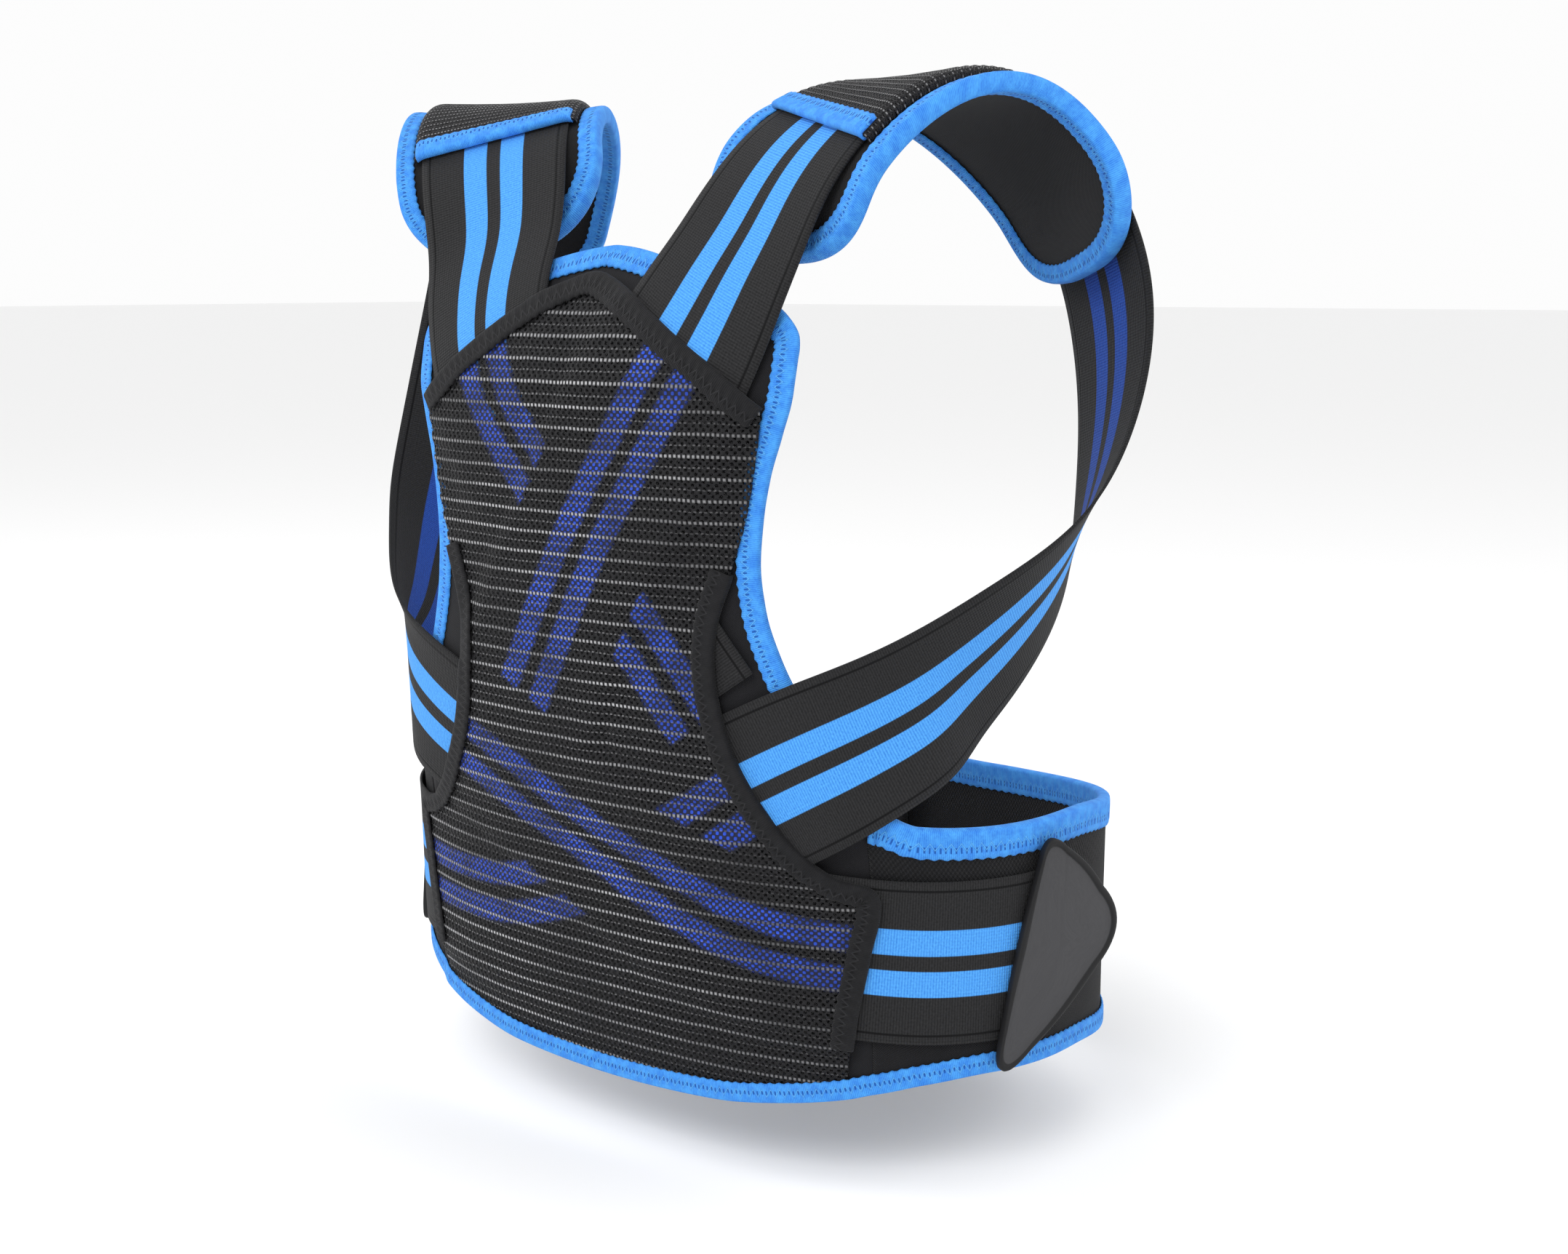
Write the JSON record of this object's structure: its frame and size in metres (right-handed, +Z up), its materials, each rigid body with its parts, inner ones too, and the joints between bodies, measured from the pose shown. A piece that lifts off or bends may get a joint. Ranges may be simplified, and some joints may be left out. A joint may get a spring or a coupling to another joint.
{
  "type": "posture corrector",
  "caption": "Worn posture brace: back panel with mesh cover, waist belt, padded shoulder pieces and striped elastic straps that cross on the back and end in grip tabs.",
  "frame": {"origin": "middle between the wearer's shoulders, at the height of the undersides of the shoulder pads", "axes": "+X towards the wearer's right, +Y forwards, +Z up"},
  "size_m": [0.4628, 0.2789, 0.4897],
  "materials": {
    "panel_foam": "matte foam cloth",
    "belt_foam": "matte foam cloth",
    "cover_mesh": "spacer mesh",
    "blue_tape": "woven tape",
    "black_tape": "woven tape",
    "striped_elastic": "woven elastic with two blue stripes",
    "pad_foam": "matte foam cloth",
    "tab_rubber": "matte"
  },
  "bodies": {
    "root": {"back_panel": "panel_foam", "mesh_cover": "cover_mesh", "panel_edge_tape": "blue_tape", "lower_edge_tape": "blue_tape", "belt_top_tape_right": "blue_tape", "belt_top_tape_left": "blue_tape", "roof_tape": "black_tape", "mesh_side_tape_right": "black_tape", "mesh_side_tape_left": "black_tape", "belt_wing_right": "belt_foam", "elastic_strap_right": "striped_elastic", "shoulder_pad_right": "pad_foam", "shoulder_pad_tape_right": "blue_tape", "strap_sleeve_right": "cover_mesh", "sleeve_rear_tape_right": "blue_tape", "sleeve_front_tape_right": "blue_tape", "grip_tab_right": "tab_rubber", "belt_wing_left": "belt_foam", "elastic_strap_left": "striped_elastic", "shoulder_pad_left": "pad_foam", "shoulder_pad_tape_left": "blue_tape", "strap_sleeve_left": "cover_mesh", "sleeve_rear_tape_left": "blue_tape", "sleeve_front_tape_left": "blue_tape", "grip_tab_left": "tab_rubber"}
  },
  "joints": []
}
